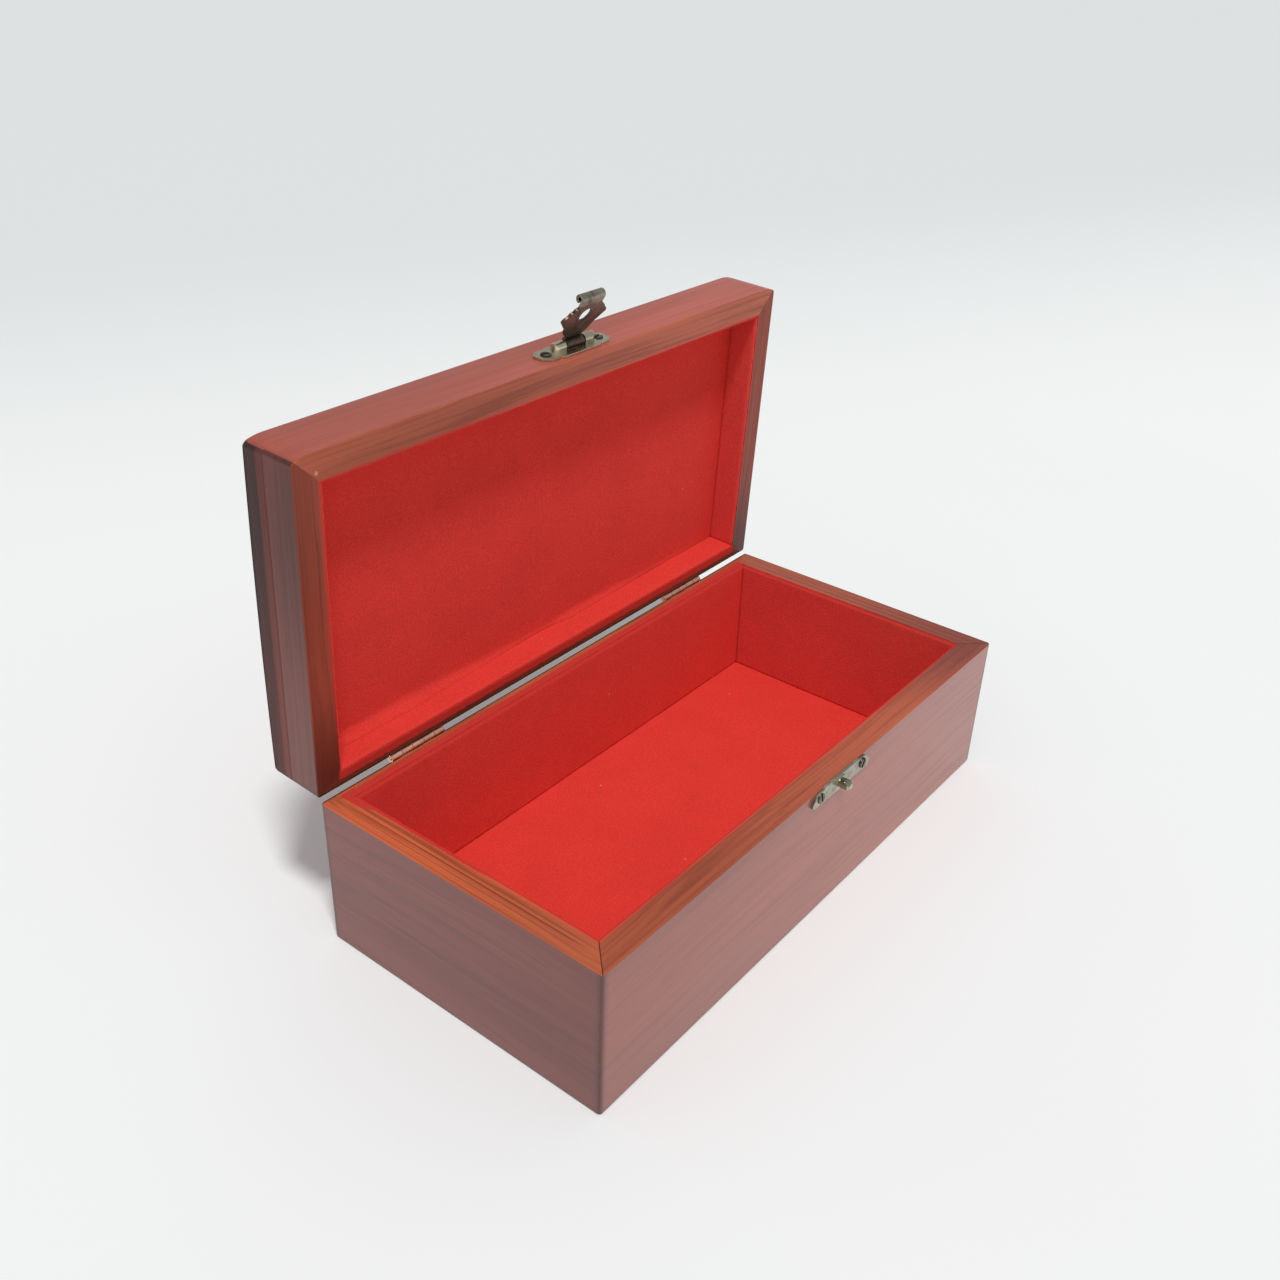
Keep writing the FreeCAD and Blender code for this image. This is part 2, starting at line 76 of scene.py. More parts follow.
def fill_socket(tree, socket, value):
    """Links a socket, or sets its number or colour."""
    if isinstance(value, bpy.types.NodeSocket):
        tree.links.new(value, socket)
    elif isinstance(value, tuple) and socket.type == "RGBA" and len(value) == 3:
        socket.default_value = (*value, 1.0)
    else:
        socket.default_value = value


def add_node(tree, kind, inputs=None, **settings):
    """New shader node with its properties set and its sockets filled."""
    node = tree.nodes.new(kind)
    for name, value in settings.items():
        setattr(node, name, value)
    for name, value in (inputs or {}).items():
        fill_socket(tree, node.inputs[name], value)
    return node


def reckon(tree, operation, *values, clamp=False):
    """One step of arithmetic on masks and lengths."""
    node = add_node(tree, "ShaderNodeMath", operation=operation, use_clamp=clamp)
    for socket, value in zip(node.inputs, values):
        fill_socket(tree, socket, value)
    return node.outputs[0]


def fade(tree, value, start, end):
    """Mask that goes smoothly from 0 at start to 1 at end."""
    inputs = {"Value": value, "From Min": start, "From Max": end}
    return add_node(tree, "ShaderNodeMapRange", inputs, interpolation_type="SMOOTHSTEP").outputs["Result"]


def spread(tree, value, low, high):
    """A 0 to 1 pattern spread between two numbers."""
    inputs = {"Value": value, "To Min": low, "To Max": high}
    return add_node(tree, "ShaderNodeMapRange", inputs).outputs["Result"]


def paint(tree, mask, under, over, mode="MIX"):
    """One colour laid over another where the mask is 1."""
    node = add_node(tree, "ShaderNodeMix", data_type="RGBA", blend_type=mode)
    fill_socket(tree, node.inputs[0], mask)
    fill_socket(tree, node.inputs[6], under)
    fill_socket(tree, node.inputs[7], over)
    return node.outputs[2]


def shaded(tree, colour, factor):
    """A colour made lighter or darker by a pattern."""
    grey = add_node(tree, "ShaderNodeCombineColor", {"Red": factor, "Green": factor, "Blue": factor})
    return paint(tree, 1.0, colour, grey.outputs["Color"], "MULTIPLY")


def grain_noise(tree, spot, scale, detail=3.0, roughness=0.55):
    """Noise stretched by a different scale along each axis."""
    stretched = add_node(tree, "ShaderNodeVectorMath", {0: spot, 1: scale}, operation="MULTIPLY")
    inputs = {"Vector": stretched.outputs[0], "Scale": 1.0, "Detail": detail, "Roughness": roughness}
    return add_node(tree, "ShaderNodeTexNoise", inputs).outputs["Fac"]


def bumped(tree, height, distance, strength=1.0):
    """Surface normal from a height pattern."""
    inputs = {"Height": height, "Distance": distance, "Strength": strength}
    return add_node(tree, "ShaderNodeBump", inputs).outputs["Normal"]


def new_material(name, **settings):
    """Empty node material with a Principled shader; plain settings go on its own sockets."""
    material = bpy.data.materials.new(name)
    material.use_nodes = True
    tree = material.node_tree
    tree.nodes.clear()
    shader = add_node(tree, "ShaderNodeBsdfPrincipled")
    output = add_node(tree, "ShaderNodeOutputMaterial")
    tree.links.new(shader.outputs["BSDF"], output.inputs["Surface"])
    for socket_name, value in settings.items():
        fill_socket(tree, shader.inputs[socket_name.replace("_", " ")], value)
    return material, tree, shader


def new_group(name, inputs, outputs):
    """Empty shader node group with named sockets."""
    group = bpy.data.node_groups.new(name, "ShaderNodeTree")
    for socket_name, kind in inputs:
        group.interface.new_socket(socket_name, in_out="INPUT", socket_type=kind)
    for socket_name in outputs:
        group.interface.new_socket(socket_name, in_out="OUTPUT", socket_type="NodeSocketFloat")
    return group, group.nodes.new("NodeGroupInput").outputs, group.nodes.new("NodeGroupOutput").inputs


def place_group(tree, group, **inputs):
    """A node group in a material, with its inputs filled."""
    node = add_node(tree, "ShaderNodeGroup", node_tree=group)
    for socket_name, value in inputs.items():
        fill_socket(tree, node.inputs[socket_name], value)
    return node.outputs


def set_material(piece, material):
    """One material for the whole piece."""
    piece.data.materials.clear()
    piece.data.materials.append(material)


# Shared patterns


def board_grain_group():
    """Straight grain along X: dark streaks, fine growth lines and slow changes of tone."""
    group, entry, leave = new_group(
        "board_grain", [("Spot", "NodeSocketVector"), ("Shift", "NodeSocketFloat")],
        ["Streaks", "Lines", "Tone", "Height"],
    )
    shift = add_node(group, "ShaderNodeCombineXYZ", {"X": entry["Shift"], "Y": entry["Shift"]})
    moved = add_node(group, "ShaderNodeVectorMath", {0: entry["Spot"], 1: shift.outputs[0]}, operation="ADD")
    sway = grain_noise(group, moved.outputs[0], (8.0, 20.0, 20.0), 2.0)
    sway = reckon(group, "MULTIPLY", reckon(group, "SUBTRACT", sway, 0.5), 0.008)
    bend = add_node(group, "ShaderNodeCombineXYZ", {"Y": sway, "Z": sway})
    spot = add_node(group, "ShaderNodeVectorMath", {0: moved.outputs[0], 1: bend.outputs[0]}, operation="ADD")
    spot = spot.outputs[0]
    streaks = grain_noise(group, spot, (5.0, 230.0, 230.0), 4.0, 0.6)
    lines = grain_noise(group, spot, (10.0, 800.0, 800.0), 3.0, 0.6)
    tone = grain_noise(group, spot, (7.0, 45.0, 45.0), 2.0, 0.5)
    fill_socket(group, leave["Streaks"], fade(group, streaks, 0.50, 0.72))
    fill_socket(group, leave["Lines"], fade(group, lines, 0.42, 0.70))
    fill_socket(group, leave["Tone"], fade(group, tone, 0.25, 0.75))
    fill_socket(group, leave["Height"], reckon(group, "SUBTRACT", 1.0, fade(group, lines, 0.45, 0.75)))
    return group


def flock_nap_group():
    """Short dense pile: fine speckle, brushed clouds and a few pale specks of lint."""
    group, entry, leave = new_group(
        "flock_nap", [("Spot", "NodeSocketVector")], ["Speckle", "Clouds", "Lint", "Height"],
    )
    speckle = grain_noise(group, entry["Spot"], (2000.0, 2000.0, 2000.0), 2.0, 0.6)
    clouds = grain_noise(group, entry["Spot"], (55.0, 55.0, 55.0), 3.0, 0.6)
    inputs = {"Vector": entry["Spot"], "Scale": 70.0}
    cells = add_node(group, "ShaderNodeTexVoronoi", inputs, feature="F1")
    lint = fade(group, cells.outputs["Distance"], 0.030, 0.018)
    fill_socket(group, leave["Speckle"], fade(group, speckle, 0.25, 0.75))
    fill_socket(group, leave["Clouds"], fade(group, clouds, 0.25, 0.75))
    fill_socket(group, leave["Lint"], lint)
    fill_socket(group, leave["Height"], speckle)
    return group


def aged_metal_group():
    """Tarnish in patches, rubbed spots and fine scratches on small metal fittings."""
    group, entry, leave = new_group(
        "aged_metal", [("Spot", "NodeSocketVector")], ["Tarnish", "Rub", "Scratches"],
    )
    patches = grain_noise(group, entry["Spot"], (420.0, 420.0, 420.0), 4.0, 0.65)
    rub = grain_noise(group, entry["Spot"], (160.0, 160.0, 160.0), 2.0, 0.5)
    scratches = grain_noise(group, entry["Spot"], (500.0, 4200.0, 4200.0), 2.0, 0.5)
    fill_socket(group, leave["Tarnish"], fade(group, patches, 0.40, 0.68))
    fill_socket(group, leave["Rub"], fade(group, rub, 0.45, 0.65))
    fill_socket(group, leave["Scratches"], fade(group, scratches, 0.45, 0.75))
    return group


BOARD_GRAIN = board_grain_group()
FLOCK_NAP = flock_nap_group()
AGED_METAL = aged_metal_group()


# Wood

STAIN_FRONT = (0.33, 0.060, 0.034)
STAIN_END = (0.205, 0.044, 0.033)
STAIN_LID = (0.45, 0.098, 0.064)
STAIN_LID_END = (0.185, 0.044, 0.034)
STREAK_BROWN = (0.055, 0.016, 0.014)
RIM_FRONT = (0.52, 0.115, 0.048)
RIM_END = (0.52, 0.118, 0.046)
RIM_LID = (0.46, 0.108, 0.052)
RIM_LID_END = (0.29, 0.060, 0.034)
RIM_LINE = (0.15, 0.030, 0.018)
RIM_MAROON = (0.075, 0.018, 0.012)
RIM_STAINED = (0.135, 0.024, 0.022)
RIM_LACQUER = 0.22
FLOCK_RED = (0.71, 0.045, 0.034)
# Paler, bluer flock red for the right-hand sheets: painted bluish skylight on walls that stand in shade
SKYLIT_FLOCK_RED = (0.72, 0.074, 0.062)
# Flock red darkened to the walls' shaded tone: the flock lapped over the rims, and painted shade on the
# sheets' top edges at the base's rim
SHADED_LAP_RED = (0.55, 0.034, 0.025)
LAP_LINE = 0.0473
LINT_PINK = (0.80, 0.35, 0.30)
BARE_WOOD = (0.55, 0.25, 0.15)
# Black of the mitre joints, also used as painted shade along the gap at the hinges
MITRE_AND_GAP_SHADE_BLACK = (0.03, 0.010, 0.008)
END_BLACK = (0.045, 0.022, 0.022)

# Where the lacquer is chipped to bare wood, lid shut, and the radius of the chip
LID_CHIP = (-0.0930, -0.0441, 0.0478)
LID_CHIP_RADIUS = 0.0007

# The painted shade along the edges of the gap at the hinges: how far it reaches in from the back and from the
# rim
GAP_EDGE_DEPTH = 0.0009
GAP_EDGE_FADE = 0.0004
GAP_EDGE_RISE = 0.0003

# How far below its edge the sawn rim's colour ends
RIM_EDGE_OUTER = 0.00042
RIM_EDGE_INNER = 0.00018

# The flock that laps over the base's left rim: its outer edge, which runs out towards the back corner
LAP_RAG = 0.0010
LAP_SOFTNESS = 0.0002
LAP_LEFT_EDGE = -0.0945
LAP_LEFT_INNER = -0.0927
LAP_SLANT = 0.38
LAP_SLANT_FROM_Y = 0.041

# Dark growth lines along the left rim of the base, and how dark each is
GROWTH_LINES = ((-0.0973, 0.40), (-0.0956, 0.75), (-0.0942, 0.50))


def board_spot(tree, on_lid):
    """Object coordinates; for the lid, turned to where its boards are with the lid shut."""
    spot = add_node(tree, "ShaderNodeTexCoord").outputs["Object"]
    if not on_lid:
        return spot
    turn = {"Vector": spot, "Location": LID_SHUT.translation, "Rotation": (LID_ANGLE, 0.0, 0.0)}
    return add_node(tree, "ShaderNodeMapping", turn, vector_type="POINT").outputs[0]


def near_point(tree, spot, point, radius):
    """Mask of a small spot round a point, with a ragged edge."""
    away = add_node(tree, "ShaderNodeVectorMath", {0: spot, 1: point}, operation="DISTANCE").outputs["Value"]
    rag = grain_noise(tree, spot, (900.0, 900.0, 900.0), 2.0)
    ragged = reckon(tree, "ADD", away, reckon(tree, "MULTIPLY", reckon(tree, "SUBTRACT", rag, 0.5), radius))
    return fade(tree, ragged, radius, radius * 0.6)


def lacquered_wood(
    name, stain, rim, streak_share, line_share, lacquer, on_lid=False, across=False, shift=0.0,
):
    """Red-stained, lacquered board with an orange cut rim; the grain runs along X, or along Y if across."""
    sheen = 0.15 if on_lid else 0.30
    material, tree, shader = new_material(name, Coat_Roughness=0.22, Coat_IOR=1.5, Specular_IOR_Level=sheen)
    spot = board_spot(tree, on_lid)
    axes = add_node(tree, "ShaderNodeSeparateXYZ", {0: spot}).outputs
    along = turned_grain(tree, spot) if across else spot
    grain = place_group(tree, BOARD_GRAIN, Spot=along, Shift=shift)

    body = shaded(tree, stain, spread(tree, grain["Tone"], 0.80, 1.16))
    body = paint(tree, reckon(tree, "MULTIPLY", grain["Streaks"], streak_share), body, STREAK_BROWN)
    body = paint(tree, reckon(tree, "MULTIPLY", grain["Lines"], line_share), body, STREAK_BROWN)
    body = paint(tree, reckon(tree, "MULTIPLY", corner_dark(tree, axes), 0.55), body, STREAK_BROWN)
    if on_lid and across:
        body = paint(tree, dark_lid_end(tree, spot, axes), body, END_BLACK)

    rim_mask = rim_region(tree, axes["Z"], on_lid)
    colour = paint(tree, rim_mask, body, rim_colour(tree, axes, grain, rim, on_lid))
    # Painted shade along the gap at the hinges, in the mitres' black
    colour = paint(tree, painted_gap_shade(tree, axes, on_lid), colour, MITRE_AND_GAP_SHADE_BLACK)
    if on_lid:
        colour = paint(tree, near_point(tree, spot, LID_CHIP, LID_CHIP_RADIUS), colour, BARE_WOOD)
    flocked = lapped_flock(tree, spot, axes, on_lid)
    # Flock lapped over the rims, in a red darkened as painted shade to the walls' tone
    colour = paint(tree, flocked, colour, SHADED_LAP_RED)
    gloss = spread(tree, grain["Lines"], 0.36, 0.46)
    gloss = reckon(tree, "ADD", gloss, reckon(tree, "MULTIPLY", flocked, 0.5), clamp=True)
    coat = spread(tree, rim_mask, lacquer, RIM_LACQUER)
    coat = reckon(tree, "MULTIPLY", coat, reckon(tree, "SUBTRACT", 1.0, flocked))
    if on_lid and across:
        coat = reckon(tree, "MULTIPLY", coat, lid_end_gloss(tree, axes))
    fill_socket(tree, shader.inputs["Base Color"], colour)
    fill_socket(tree, shader.inputs["Roughness"], gloss)
    fill_socket(tree, shader.inputs["Coat Weight"], coat)
    fill_socket(tree, shader.inputs["Normal"], bumped(tree, grain["Height"], 0.00003, 0.35))
    return material


def turned_grain(tree, spot):
    """Coordinates of a board whose grain runs along Y."""
    turn = {"Vector": spot, "Rotation": (0.0, 0.0, math.radians(-90))}
    return add_node(tree, "ShaderNodeMapping", turn).outputs[0]


def dark_lid_end(tree, spot, axes):
    """Mask of the dark streaks down the lid's ends, darkest along the top board and towards the front."""
    streaks = grain_noise(tree, turned_grain(tree, spot), (4.0, 330.0, 330.0), 3.0, 0.55)
    share = reckon(tree, "MULTIPLY", fade(tree, streaks, 0.45, 0.75), 0.55)
    share = reckon(tree, "ADD", share, reckon(tree, "MULTIPLY", fade(tree, axes["Y"], 0.020, -0.040), 0.30))
    outer = fade(tree, axes["Z"], LID_RIM + 0.0125, LID_RIM + 0.0155)
    share = reckon(tree, "ADD", share, reckon(tree, "MULTIPLY", outer, 0.65))
    return reckon(tree, "MINIMUM", share, 0.92)


def lid_end_gloss(tree, axes):
    """Lacquer left on the lid's ends: thin towards the front and on the top board."""
    worn = spread(tree, fade(tree, axes["Y"], 0.040, -0.040), 0.85, 0.35)
    board = fade(tree, axes["Z"], LID_RIM + 0.010, LID_RIM + 0.0145)
    return reckon(tree, "MULTIPLY", worn, spread(tree, board, 1.0, 0.10))


def painted_gap_shade(tree, axes, on_lid):
    """Mask of the painted shade along the edges of the gap at the hinges."""
    inner = CASE_HALF_Y - GAP_EDGE_DEPTH
    back = fade(tree, axes["Y"], inner, inner + GAP_EDGE_FADE)
    if on_lid:
        start = LID_RIM + GAP_EDGE_DEPTH
        return reckon(tree, "MULTIPLY", back, fade(tree, axes["Z"], start, start - GAP_EDGE_RISE))
    start = BASE_RIM - GAP_EDGE_DEPTH
    return reckon(tree, "MULTIPLY", back, fade(tree, axes["Z"], start, start + GAP_EDGE_RISE))


def rim_region(tree, height, on_lid):
    """Mask of the sawn rim where base and lid meet."""
    if on_lid:
        return fade(tree, height, LID_RIM + RIM_EDGE_OUTER, LID_RIM + RIM_EDGE_INNER)
    return fade(tree, height, BASE_RIM - RIM_EDGE_OUTER, BASE_RIM - RIM_EDGE_INNER)


def corner_dark(tree, axes):
    """Mask of the stain that gathers along the upright corners."""
    off_x = reckon(tree, "SUBTRACT", CASE_HALF_X, reckon(tree, "ABSOLUTE", axes["X"]))
    off_y = reckon(tree, "SUBTRACT", CASE_HALF_Y, reckon(tree, "ABSOLUTE", axes["Y"]))
    away = reckon(tree, "ADD", reckon(tree, "ABSOLUTE", off_x), reckon(tree, "ABSOLUTE", off_y))
    return fade(tree, away, 0.0026, 0.0008)


def rim_colour(tree, axes, grain, rim, on_lid):
    """Cut rim with growth lines, redder beside the flock and dark along the base's front mitres."""
    colour = shaded(tree, rim, spread(tree, grain["Tone"], 0.74, 1.22))
    colour = paint(tree, reckon(tree, "MULTIPLY", grain["Lines"], 0.52), colour, RIM_LINE)
    colour = paint(tree, reckon(tree, "MULTIPLY", grain["Streaks"], 0.40), colour, RIM_LINE)
    out_x = reckon(tree, "ABSOLUTE", axes["X"])
    out_y = reckon(tree, "ABSOLUTE", axes["Y"])
    beside_x = fade(tree, out_x, CASE_HALF_X - 0.0066, CASE_HALF_X - 0.0079)
    beside_y = fade(tree, out_y, CASE_HALF_Y - 0.0066, CASE_HALF_Y - 0.0079)
    beside = reckon(tree, "MULTIPLY", beside_x, beside_y)
    colour = paint(tree, reckon(tree, "MULTIPLY", beside, 0.4), colour, FLOCK_RED)
    if on_lid:
        at_hinges = fade(tree, axes["Y"], 0.012, 0.047)
        return paint(tree, reckon(tree, "MULTIPLY", at_hinges, 0.8), colour, RIM_MAROON)
    colour = paint(tree, right_corner_stain(tree, axes, grain), colour, RIM_STAINED)
    for line_x, share in GROWTH_LINES:
        away = reckon(tree, "ABSOLUTE", reckon(tree, "SUBTRACT", axes["X"], line_x))
        line = reckon(tree, "MULTIPLY", fade(tree, away, 0.00028, 0.00008), fade(tree, out_y, 0.044, 0.034))
        line = reckon(tree, "MULTIPLY", line, spread(tree, grain["Lines"], share, share * 0.4))
        colour = paint(tree, line, colour, RIM_MAROON)
    mitre = reckon(tree, "SUBTRACT", reckon(tree, "SUBTRACT", out_x, out_y), CASE_HALF_X - CASE_HALF_Y)
    mitre = fade(tree, reckon(tree, "ABSOLUTE", mitre), 0.00026, 0.00010)
    in_front = fade(tree, axes["Y"], 0.0, -0.01)
    return paint(tree, reckon(tree, "MULTIPLY", mitre, in_front), colour, MITRE_AND_GAP_SHADE_BLACK)


def right_corner_stain(tree, axes, grain):
    """Mask of the stain that ran onto the base's rim, deepest at its right front corner."""
    to_front = spread(tree, fade(tree, axes["Y"], 0.045, -0.040), 0.30, 0.72)
    to_right = fade(tree, axes["X"], 0.020, 0.096)
    mottled = spread(tree, grain["Tone"], 1.25, 0.75)
    return reckon(tree, "MULTIPLY", reckon(tree, "MULTIPLY", to_front, to_right), mottled, clamp=True)


def lapped_flock(tree, spot, axes, on_lid):
    """Mask of the flock that laps over the back rims, and along the base's left rim to its back corner."""
    rag = grain_noise(tree, spot, (1200.0, 1200.0, 1200.0), 2.0)
    rag = reckon(tree, "MULTIPLY", reckon(tree, "SUBTRACT", rag, 0.5), LAP_RAG)
    depth = reckon(tree, "ADD", axes["Y"], rag)
    back = fade(tree, depth, LAP_LINE + LAP_SOFTNESS, LAP_LINE - LAP_SOFTNESS)
    back = reckon(tree, "MULTIPLY", back, fade(tree, axes["Y"], CASE_HALF_Y - 0.0060, CASE_HALF_Y - 0.0050))
    within = fade(tree, reckon(tree, "ABSOLUTE", axes["X"]), CASE_HALF_X - 0.0072, CASE_HALF_X - 0.0080)
    back = reckon(tree, "MULTIPLY", back, within)
    if on_lid:
        return reckon(tree, "MULTIPLY", back, fade(tree, axes["Z"], LID_RIM + 0.0014, LID_RIM + 0.0010))
    short = reckon(tree, "MAXIMUM", reckon(tree, "SUBTRACT", LAP_SLANT_FROM_Y, axes["Y"]), 0.0)
    edge = reckon(tree, "ADD", reckon(tree, "MULTIPLY", short, LAP_SLANT), LAP_LEFT_EDGE)
    edge = reckon(tree, "MINIMUM", edge, LAP_LEFT_INNER)
    inside = reckon(tree, "ADD", reckon(tree, "SUBTRACT", axes["X"], edge), rag)
    lap = fade(tree, inside, -LAP_SOFTNESS, LAP_SOFTNESS)
    at_left = fade(tree, axes["X"], -0.0890, -0.0900)
    at_back = reckon(tree, "MULTIPLY", fade(tree, axes["Y"], -0.010, 0.0), fade(tree, depth, 0.0482, 0.0476))
    corner = reckon(tree, "MULTIPLY", reckon(tree, "MULTIPLY", lap, at_left), at_back)
    on_top = fade(tree, axes["Z"], BASE_RIM - 0.0014, BASE_RIM - 0.0010)
    return reckon(tree, "MULTIPLY", reckon(tree, "MAXIMUM", back, corner), on_top)


# Flock, metal and floor


def red_flock(name, red):
    """Matt red pile, with painted shade at the base's rim height that darkens the sheets' upward-facing top
    edges.
    """
    material, tree, shader = new_material(
        name, Roughness=1.0, Specular_IOR_Level=0.15,
        Sheen_Weight=0.12, Sheen_Roughness=0.6, Sheen_Tint=(1.0, 0.25, 0.2),
    )
    spot = add_node(tree, "ShaderNodeTexCoord").outputs["Object"]
    nap = place_group(tree, FLOCK_NAP, Spot=spot)
    clouds = spread(tree, nap["Clouds"], 0.965, 1.035)
    tone = reckon(tree, "MULTIPLY", spread(tree, nap["Speckle"], 0.86, 1.12), clouds)
    colour = paint(tree, reckon(tree, "MULTIPLY", nap["Lint"], 0.5), shaded(tree, red, tone), LINT_PINK)
    height = add_node(tree, "ShaderNodeSeparateXYZ", {0: spot}).outputs["Z"]
    # Painted shade: flock near the base's rim height takes the darker lap red, so the sheets' top edges do
    # not catch the light
    rim_distance = reckon(tree, "ABSOLUTE", reckon(tree, "SUBTRACT", height, BASE_RIM))
    colour = paint(tree, fade(tree, rim_distance, 0.0009, 0.0003), colour, SHADED_LAP_RED)
    fill_socket(tree, shader.inputs["Base Color"], colour)
    fill_socket(tree, shader.inputs["Normal"], bumped(tree, nap["Height"], 0.0003, 0.4))
    return material


def aged_metal(name, bright, dull, smooth, rough, tarnish_share, upper_colour_above=None, upper_colour=None):
    """Brass or bronze with tarnish in patches, and another colour above a given height."""
    material, tree, shader = new_material(name, Metallic=1.0)
    spot = add_node(tree, "ShaderNodeTexCoord").outputs["Object"]
    age = place_group(tree, AGED_METAL, Spot=spot)
    colour = bright
    # Another colour above the given height
    if upper_colour_above:
        height = add_node(tree, "ShaderNodeSeparateXYZ", {0: spot}).outputs["Z"]
        colour = paint(tree, fade(tree, height, upper_colour_above - 0.0006, upper_colour_above + 0.0004), bright, upper_colour)
    dulled = reckon(tree, "MULTIPLY", age["Tarnish"], tarnish_share)
    colour = paint(tree, dulled, colour, dull)
    colour = shaded(tree, colour, spread(tree, age["Rub"], 0.85, 1.15))
    fill_socket(tree, shader.inputs["Base Color"], colour)
    fill_socket(tree, shader.inputs["Roughness"], spread(tree, age["Tarnish"], smooth, rough))
    fill_socket(tree, shader.inputs["Normal"], bumped(tree, age["Scratches"], 0.00002, 0.35))
    return material


def pale_cloth():
    """Pale floor cloth, with painted shade that darkens it towards the back."""
    material, tree, shader = new_material("floor_cloth", Roughness=0.9, Specular_IOR_Level=0.2)
    spot = add_node(tree, "ShaderNodeTexCoord").outputs["Object"]
    clouds = grain_noise(tree, spot, (3.0, 3.0, 3.0), 2.0)
    colour = shaded(tree, (0.90, 0.91, 0.905), spread(tree, clouds, 0.97, 1.02))
    axes = add_node(tree, "ShaderNodeSeparateXYZ", {0: spot}).outputs
    # Painted shade: the cloth darkens towards the back
    depth = reckon(tree, "ADD", reckon(tree, "MULTIPLY", axes["X"], 0.5), axes["Y"])
    colour = paint(tree, fade(tree, depth, 0.25, 0.90), colour, (0.74, 0.76, 0.755))
    fill_socket(tree, shader.inputs["Base Color"], colour)
    return material


WOOD_FRONT = lacquered_wood(
    "base_long_boards", STAIN_FRONT, RIM_FRONT, streak_share=0.14, line_share=0.05, lacquer=0.9,
)
WOOD_END = lacquered_wood(
    "base_end_boards", STAIN_END, RIM_END, streak_share=0.36, line_share=0.14, lacquer=0.62,
    across=True, shift=0.31,
)
WOOD_LID = lacquered_wood(
    "lid_long_boards", STAIN_LID, RIM_LID, streak_share=0.16, line_share=0.08, lacquer=0.32,
    on_lid=True, shift=0.57,
)
WOOD_LID_END = lacquered_wood(
    "lid_end_boards", STAIN_LID_END, RIM_LID_END, streak_share=0.30, line_share=0.15, lacquer=0.65,
    on_lid=True, across=True, shift=0.83,
)
WOOD_BOTTOM = lacquered_wood(
    "bottom_board", STAIN_END, RIM_END, streak_share=0.35, line_share=0.18, lacquer=0.4, shift=0.12,
)
RED_FLOCK = red_flock("red_flock", FLOCK_RED)
SKYLIT_FLOCK = red_flock("red_flock_painted_skylight", SKYLIT_FLOCK_RED)
ANTIQUE_BRASS = aged_metal(
    "antique_brass", (0.66, 0.60, 0.44), (0.46, 0.42, 0.31), smooth=0.22, rough=0.34, tarnish_share=0.5,
)
# The catch plate's brass, darkened as a painted reflection of the darker surroundings in front of the box
CATCH_BRASS_DARK_REFLECTION = aged_metal(
    "catch_brass_dark_reflection", (0.47, 0.44, 0.34), (0.24, 0.23, 0.19), smooth=0.20, rough=0.34, tarnish_share=0.7,
)
DARK_BRONZE = aged_metal(
    "dark_bronze", (0.19, 0.13, 0.10), (0.10, 0.068, 0.056), smooth=0.40, rough=0.52, tarnish_share=0.7,
    upper_colour_above=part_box("hasp")[1].z - 0.0036, upper_colour=(0.34, 0.31, 0.24),
)
HINGE_BRASS = aged_metal(
    "hinge_brass", (0.98, 0.62, 0.47), (0.84, 0.47, 0.34), smooth=0.26, rough=0.40, tarnish_share=0.5,
)
SCREW_BRASS = aged_metal(
    "screw_brass", (0.17, 0.14, 0.11), (0.07, 0.058, 0.048), smooth=0.32, rough=0.50, tarnish_share=0.9,
)


def dress_nodes():
    """Materials of the pieces that are shown as they are."""
    for name, node in frame["nodes"].items():
        if name.endswith("lining") or name.endswith("screws"):
            set_material(node, RED_FLOCK if name.endswith("lining") else SCREW_BRASS)
        elif name == "base_bottom_panel":
            set_material(node, WOOD_BOTTOM)
        elif name in ("lid_left_rail", "lid_right_rail"):
            set_material(node, WOOD_LID_END)
        elif name in ("base_left_panel", "base_right_panel"):
            set_material(node, WOOD_END)
        elif name.startswith("lid_"):
            set_material(node, WOOD_LID)
        elif name.startswith("base_"):
            set_material(node, WOOD_FRONT)
        elif name.startswith("hinge_"):
            set_material(node, HINGE_BRASS)
        elif name == "hasp":
            set_material(node, DARK_BRONZE)
        elif name == "hasp_pin":
            set_material(node, SCREW_BRASS)
        elif name == "catch_plate":
            set_material(node, CATCH_BRASS_DARK_REFLECTION)
        else:
            set_material(node, ANTIQUE_BRASS)


# Pieces


def shut_box(node_name):
    """Lowest and highest corners of a lid node with the lid shut."""
    corners = [LID_SHUT @ vertex.co for vertex in frame["nodes"][node_name].data.vertices]
    low = Vector(min(corner[axis] for corner in corners) for axis in range(3))
    high = Vector(max(corner[axis] for corner in corners) for axis in range(3))
    return low, high


def new_piece(name, shape, material, body):
    """Object at the origin from a finished shape, riding on its body."""
    mesh = bpy.data.meshes.new(name)
    shape.to_mesh(mesh)
    shape.free()
    piece = bpy.data.objects.new(name, mesh)
    bpy.context.scene.collection.objects.link(piece)
    set_material(piece, material)
    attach(piece, body)
    return piece


# Top board

TOP_THICKNESS = 0.0086
TOP_CROWN = 0.0008
TOP_EDGE_RADIUS = 0.0022
TOP_CORNER_RADIUS = 0.001
TOP_CORNER_SWEEP = 0.006
TOP_CORNER_FALL = 0.0012

# Edge loops across the board: at these places along X, and evenly along Y
TOP_LOOPS_X = (0.02, 0.06, 0.094, 0.0952, 0.0964, 0.0976)
TOP_LOOP_STEP_Y = 0.0042
TOP_LOOPS_Y = 11
SHARP_EDGE = math.radians(35)


